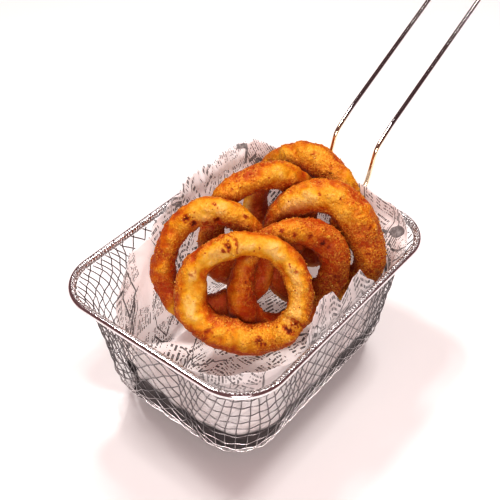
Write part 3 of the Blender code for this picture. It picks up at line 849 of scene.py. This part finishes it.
def clear_of_rings(P, N, gap):
    for lo in range(0, len(P), 4000):
        q, n = P[lo:lo + 4000], N[lo:lo + 4000]
        for _ in range(2):
            d = q[:, None] - tubes_p[None]
            need = tubes_r + gap
            dd = (d ** 2).sum(-1)
            dn = (d * n[:, None]).sum(-1)
            c = dd - (need ** 2)[None]
            step = np.where(c < 0, -dn + np.sqrt(np.maximum(dn ** 2 - c, 0)), 0).max(1)
            q = q + n * step[:, None]
        P[lo:lo + 4000] = q
    return P


P = clear_of_rings(P, N, 0.75)
# stay inside the mesh
zc = np.clip(P[:, 2], 0.6, RIM_Z)
lim = np.maximum(wall_inset(zc) + 0.85, np.where(P[:, 2] > 61.5, 1.9, 0.0))
below = P[:, 2] < RIM_Z + 2.0
rc = corner_radius(zc)
qx, qy = np.abs(P[:, 0]) - (RIM_HALF_X - lim - rc), np.abs(P[:, 1]) - (RIM_HALF_Y - lim - rc)
outside = np.hypot(np.maximum(qx, 0), np.maximum(qy, 0)) - rc
hit = (outside > 0) & below
nrm = np.stack([np.maximum(qx, 0) * np.sign(P[:, 0]), np.maximum(qy, 0) * np.sign(P[:, 1])], 1)
nrm /= np.linalg.norm(nrm, axis=1)[:, None] + 1e-9
P[:, :2] = np.where(hit[:, None], P[:, :2] - nrm * np.maximum(outside, 0)[:, None], P[:, :2])
P[:, 2] = np.maximum(P[:, 2], 2.0)

i, j = np.meshgrid(np.arange(PS), np.arange(PR - 1), indexing="ij")
F = np.stack([i * PR + j, ((i + 1) % PS) * PR + j, ((i + 1) % PS) * PR + j + 1, i * PR + j + 1], -1).reshape(-1, 4)


def paper_material(name, ink_share, light, painted_glow):
    k = Nodes(name)
    b = k.bsdf
    uv = k.new("ShaderNodeUVMap", uv_map="sheet").outputs["UV"]

    def block(vec, size, seed):
        """Columns of broken lines: rows of dark dashes with no letters."""
        sep = k.new("ShaderNodeSeparateXYZ")
        k.link(vec, sep.inputs[0])
        xx, yy = sep.outputs[0], sep.outputs[1]
        row = k.math("FRACT", k.math("MULTIPLY", yy, 1.0 / size))
        line = k.math("LESS_THAN", k.math("ABSOLUTE", k.math("SUBTRACT", row, 0.5)), 0.25)
        rowid = k.math("FLOOR", k.math("MULTIPLY", yy, 1.0 / size))

        def chance(step, extra, limit):
            cell = k.new("ShaderNodeCombineXYZ")
            k.link(k.math("FLOOR", k.math("ADD", k.math("MULTIPLY", xx, 1.0 / (size * step)), k.math("MULTIPLY", rowid, 0.37))), cell.inputs[0])
            k.link(rowid, cell.inputs[1])
            cell.inputs[2].default_value = seed + extra
            wn = k.new("ShaderNodeTexWhiteNoise", noise_dimensions="3D")
            k.link(cell.outputs[0], wn.inputs["Vector"])
            return k.math("GREATER_THAN", wn.outputs["Value"], limit)

        dash = k.math("MULTIPLY", chance(0.75, 0.0, 0.16), chance(0.23, 7.0, 0.28))
        col = k.math("FRACT", k.math("MULTIPLY", xx, 1.0 / (size * 13)))
        inside = k.math("MULTIPLY", k.math("GREATER_THAN", col, 0.09), k.math("LESS_THAN", col, 0.95))
        para = k.math("GREATER_THAN", k.math("FRACT", k.math("MULTIPLY", yy, 1.0 / (size * 9.5))), 0.11)
        return k.math("MULTIPLY", k.math("MULTIPLY", k.math("MULTIPLY", line, dash), inside), para)

    def turned(angle, sx=0.0, sy=0.0):
        m = k.new("ShaderNodeMapping")
        m.inputs["Rotation"].default_value = (0, 0, math.radians(angle))
        m.inputs["Location"].default_value = (sx, sy, 0)
        k.link(uv, m.inputs["Vector"])
        return m.outputs[0]

    # the sheet is printed with patches set at different angles
    vor = k.new("ShaderNodeTexVoronoi", feature="F1", distance="CHEBYCHEV")
    vor.inputs["Scale"].default_value = 1 / 34.0
    k.link(turned(20), vor.inputs["Vector"])
    cellv = k.new("ShaderNodeSeparateColor")
    k.link(vor.outputs["Color"], cellv.inputs[0])
    pick, pick2 = cellv.outputs[0], cellv.outputs[1]
    a = block(turned(12), 2.0, 1.0)
    c = block(turned(98), 1.6, 2.0)
    d = block(turned(-28), 2.6, 3.0)
    ink = k.math("ADD", k.math("MULTIPLY", a, k.math("LESS_THAN", pick, 0.34)),
                 k.math("ADD", k.math("MULTIPLY", c, k.math("MULTIPLY", k.math("GREATER_THAN", pick, 0.34), k.math("LESS_THAN", pick, 0.66))),
                        k.math("MULTIPLY", d, k.math("GREATER_THAN", pick, 0.80))), clamp=True)
    # box rules between the patches
    edge = k.new("ShaderNodeTexVoronoi", feature="DISTANCE_TO_EDGE")
    edge.inputs["Scale"].default_value = 1 / 34.0
    k.link(turned(20), edge.inputs["Vector"])
    rule = k.math("MULTIPLY", k.math("LESS_THAN", k.math("ABSOLUTE", k.math("SUBTRACT", edge.outputs["Distance"], 0.045)), 0.009),
                  k.math("GREATER_THAN", pick2, 0.45))
    ink = k.math("MAXIMUM", ink, rule)
    # a few bold rounded shapes
    blob = k.new("ShaderNodeTexVoronoi", feature="F1")
    blob.inputs["Scale"].default_value = 1 / 27.0
    blob.inputs["Randomness"].default_value = 0.9
    k.link(turned(50, 11, 5), blob.inputs["Vector"])
    ringy = k.math("LESS_THAN", k.math("ABSOLUTE", k.math("SUBTRACT", blob.outputs["Distance"], 0.20)), 0.035)
    bcol = k.new("ShaderNodeSeparateColor")
    k.link(blob.outputs["Color"], bcol.inputs[0])
    ringy = k.math("MULTIPLY", ringy, k.math("GREATER_THAN", bcol.outputs[0], 0.78))
    ink = k.math("MAXIMUM", ink, ringy)
    # one dark oval, a few thick bent strokes and thin-line boxes, at set places on the sheet
    at = k.new("ShaderNodeSeparateXYZ")
    k.link(uv, at.inputs[0])

    def near_place(cx, cy, rx, ry):
        dx = k.math("MULTIPLY", k.math("SUBTRACT", at.outputs[0], cx + 200.0), 1.0 / rx)
        dy = k.math("MULTIPLY", k.math("SUBTRACT", at.outputs[1], cy + 200.0), 1.0 / ry)
        return k.math("ADD", k.math("MULTIPLY", dx, dx), k.math("MULTIPLY", dy, dy))

    oval = k.math("LESS_THAN", near_place(95, -59, 2.8, 6.5), 1.0)
    def bar(cx, cy, long, wide, turn):
        c2, s2 = math.cos(math.radians(turn)), math.sin(math.radians(turn))
        px = k.math("SUBTRACT", at.outputs[0], cx + 200.0)
        py = k.math("SUBTRACT", at.outputs[1], cy + 200.0)
        u2 = k.math("ABSOLUTE", k.math("ADD", k.math("MULTIPLY", px, c2), k.math("MULTIPLY", py, s2)))
        v2 = k.math("ABSOLUTE", k.math("SUBTRACT", k.math("MULTIPLY", py, c2), k.math("MULTIPLY", px, s2)))
        return k.math("MULTIPLY", k.math("LESS_THAN", u2, long), k.math("LESS_THAN", v2, wide))

    bold = k.math("LESS_THAN", k.math("ABSOLUTE", k.math("SUBTRACT", near_place(89.5, 59.0, 3.0, 4.4), 1.0)), 0.52)
    for cx, cy, long, wide, turn in ((86.0, 76.6, 4.9, 1.1, -35), (85.6, 71.8, 4.1, 1.0, 29), (88.0, 66.6, 3.6, 0.9, -18),
                                     (91.0, 82.0, 2.4, 0.9, 10), (-66.0, 84.0, 2.6, 0.7, 60), (-69.0, 80.0, 2.4, 0.6, -15),
                                     (-72.0, 76.0, 2.2, 0.6, 55), (-60.0, 62.0, 9.0, 0.8, 60), (-57.5, 60.5, 8.0, 0.4, 60),
                                     (-66.0, 52.0, 6.0, 0.5, 100)):
        bold = k.math("MAXIMUM", bold, bar(cx, cy, long, wide, turn))
    boxes = None
    for cx, cy, h, turn in ((-60, 74, 6.0, 24), (-48, 90, 5.0, -20), (-70, 60, 4.5, 10), (60, -62, 6.0, 10), (-70, -8, 7.5, 60)):
        c2, s2 = math.cos(math.radians(turn)), math.sin(math.radians(turn))
        px = k.math("SUBTRACT", at.outputs[0], cx + 200.0)
        py = k.math("SUBTRACT", at.outputs[1], cy + 200.0)
        u2 = k.math("ABSOLUTE", k.math("ADD", k.math("MULTIPLY", px, c2), k.math("MULTIPLY", py, s2)))
        v2 = k.math("ABSOLUTE", k.math("SUBTRACT", k.math("MULTIPLY", py, c2), k.math("MULTIPLY", px, s2)))
        m = k.math("LESS_THAN", k.math("ABSOLUTE", k.math("SUBTRACT", k.math("MAXIMUM", u2, v2), h)), 0.55)
        boxes = m if boxes is None else k.math("MAXIMUM", boxes, m)
    ink = k.math("MAXIMUM", k.math("MAXIMUM", ink, boxes), k.math("MAXIMUM", oval, bold))
    worn = k.map(k.noise(600.0, 3.0, 0.6), 0.30, 0.55, 0.62, 1.0)
    ink = k.math("MULTIPLY", ink, worn)
    stain = k.map(k.noise(55.0, 3.0, 0.55), 0.35, 0.70, 0.0, 1.0)
    base = k.mix(stain, (0.97 * light, 0.945 * light, 0.94 * light), (0.93 * light, 0.85 * light, 0.835 * light))
    height = k.new("ShaderNodeSeparateXYZ")
    k.link(k.coords(), height.inputs[0])
    share = k.map(height.outputs[2], 0.050, 0.058, ink_share, 0.80)
    base = k.mix(k.math("MULTIPLY", ink, share), base, (0.07, 0.058, 0.058))
    # painted shade: below 8.5 mm, fading out by 11.5 mm, the paper is coloured near black, for the dark under the food
    zpos = k.new("ShaderNodeSeparateXYZ")
    k.link(k.coords(), zpos.inputs[0])
    base = k.mix(k.map(zpos.outputs[2], 0.0085, 0.0115, 1.0, 0.0), base, (0.11, 0.095, 0.095))
    k.link(base, b.inputs["Base Color"])
    b.inputs["Roughness"].default_value = 0.55
    b.inputs["Specular IOR Level"].default_value = 0.35
    # painted light: the paper glows a little in its own colour, brighter than the lamps alone would make it
    k.link(base, b.inputs["Emission Color"])
    b.inputs["Emission Strength"].default_value = painted_glow
    k.link(k.bump(k.noise(700.0, 4.0, 0.65), 0.00022, 0.55), b.inputs["Normal"])
    # thin paper lets some light through
    out = k.t.nodes["Material Output"]
    tr = k.new("ShaderNodeBsdfTranslucent")
    k.link(base, tr.inputs["Color"])
    mx = k.new("ShaderNodeMixShader")
    mx.inputs[0].default_value = 0.22
    k.link(b.outputs[0], mx.inputs[1])
    k.link(tr.outputs[0], mx.inputs[2])
    k.link(mx.outputs[0], out.inputs["Surface"])
    return k.mat


# the sag of the sheet under the food, seen through the lowest wires, coloured near black: painted shade in the dark
# bottom of the basket
PSs = 240
s2 = np.linspace(0, RIM_LENGTH, PSs, endpoint=False)
rows = []
corner_gap = np.clip(1 - np.abs(s2 - 174) / 20, 0, 1) ** 0.5
for share, gap in ((1.0, 0.74), (0.80, 0.72), (0.60, 0.72), (0.42, 0.76), (0.30, 0.82), (0.20, 0.90), (0.12, 1.1), (0.07, 1.5), (0.03, 2.3), (0.01, 3.4),
                   (0.0, 8.0), (0.0, 20.0)):
    top = (24.0 + 5.0 * np.clip(1 - np.abs(s2 - 218) / 34, 0, 1) ** 0.5 + 1.6 * np.sin(s2 * 0.13) + 1.0 * np.sin(s2 * 0.37 + 1)) * (1 - corner_gap) + 3.4 * corner_gap
    zr = 1.7 + (top - 1.7) * share
    inn = wall_inset(zr) + gap + (0.1 + 0.25 * (1 - share)) * np.sin(s2 * 0.31 + 9 * share) ** 2
    hx2, hy2 = RIM_HALF_X - inn, RIM_HALF_Y - inn
    x2, y2, _, _ = on_outline(s2, hx2, hy2, np.minimum(corner_radius(zr), np.minimum(hx2, hy2) - 1))
    rows.append(np.stack([x2, y2, zr], 1))
V2 = np.stack(rows, 1).reshape(-1, 3)
nr = len(rows)
i2, j2 = np.meshgrid(np.arange(PSs), np.arange(nr - 1), indexing="ij")
F2 = np.stack([i2 * nr + j2, ((i2 + 1) % PSs) * nr + j2, ((i2 + 1) % PSs) * nr + j2 + 1, i2 * nr + j2 + 1], -1).reshape(-1, 4)
gk = Nodes("shade_dark_paper")
gk.link(gk.ramp(gk.noise(160.0, 4.0, 0.6), ((0.3, (0.018, 0.013, 0.014)), (0.7, (0.060, 0.045, 0.045)))), gk.bsdf.inputs["Base Color"])
gk.bsdf.inputs["Roughness"].default_value = 0.5
gk.link(gk.bump(gk.noise(500.0, 3.0), 0.0003, 0.6), gk.bsdf.inputs["Normal"])
sag = mesh_object("liner_sag", V2, F2, gk.mat)
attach(sag, BODY)

paper = mesh_object("printed_paper_liner", P, F, paper_material("greaseproof_back", 0.12, 0.84, 0.09))
paper.data.materials.append(paper_material("printed_greaseproof", 0.92, 1.0, 0.24))
uvl = paper.data.uv_layers.new(name="sheet")
idx = np.empty(len(paper.data.loops), np.int32)
paper.data.loops.foreach_get("vertex_index", idx)
uvl.data.foreach_set("uv", (flat[idx] + 200.0).astype(np.float32).ravel())
# close the middle
bm = bmesh.new()
bm.from_mesh(paper.data)
inner = [e for e in bm.edges if e.is_boundary and all(v.co.xy.length < 0.010 for v in e.verts)]
if inner:
    bmesh.ops.contextual_create(bm, geom=inner)
bm.to_mesh(paper.data)
bm.free()
paper.data.shade_smooth()
th = paper.modifiers.new("thickness", "SOLIDIFY")
th.thickness = 0.0002
th.offset = 0.0
th.material_offset = 1
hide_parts("paper_liner")
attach(paper, BODY)

# ------------------------------------------------------------------------------
# floor and light
# ------------------------------------------------------------------------------
fl = Nodes("studio_floor")
fl.bsdf.inputs["Base Color"].default_value = (0.93, 0.915, 0.915, 1)
fl.bsdf.inputs["Roughness"].default_value = 0.6
fl.bsdf.inputs["Specular IOR Level"].default_value = 0.2
bm = bmesh.new()
bmesh.ops.create_grid(bm, x_segments=1, y_segments=1, size=3.0)
me = bpy.data.meshes.new("floor")
bm.to_mesh(me)
bm.free()
me.materials.append(fl.mat)
floor = bpy.data.objects.new("floor", me)
floor.location = (0, 0, -0.0002)
bpy.context.scene.collection.objects.link(floor)

scene = bpy.context.scene
scene.view_settings.view_transform = "Standard"
scene.view_settings.look = "None"
scene.view_settings.exposure = 0.0
scene.view_settings.gamma = 0.82
world = scene.world or bpy.data.worlds.new("world")
scene.world = world
world.use_nodes = True
bg = world.node_tree.nodes.get("Background") or world.node_tree.nodes.new("ShaderNodeBackground")
bg.inputs["Color"].default_value = (1.0, 0.50, 0.51, 1)
bg.inputs["Strength"].default_value = 0.20


def area(name, away, elev, azim, size, watts, colour=(1, 1, 1)):
    d = bpy.data.lights.new(name, "AREA")
    d.shape = "DISK"
    d.size = size
    d.energy = watts
    d.color = colour
    o = bpy.data.objects.new(name, d)
    e, a = math.radians(elev), math.radians(azim)
    back = Vector((math.cos(e) * math.cos(a), math.cos(e) * math.sin(a), math.sin(e)))
    aim = Vector((0.0, 0.0, 0.04))
    o.location = aim + back * away
    o.rotation_mode = "QUATERNION"
    o.rotation_quaternion = back.to_track_quat("Z", "Y")
    bpy.context.scene.collection.objects.link(o)
    return o


# azimuth 0 is +X; the camera stands at 219
area("key_left", 0.95, 65, 98, 0.20, 5.2, (1.0, 0.985, 0.965))
area("key_right", 0.95, 65, -18, 0.20, 5.1, (1.0, 0.985, 0.965))
area("fill_front", 1.1, 31, 221, 0.45, 7.6, (1.0, 0.92, 0.90))
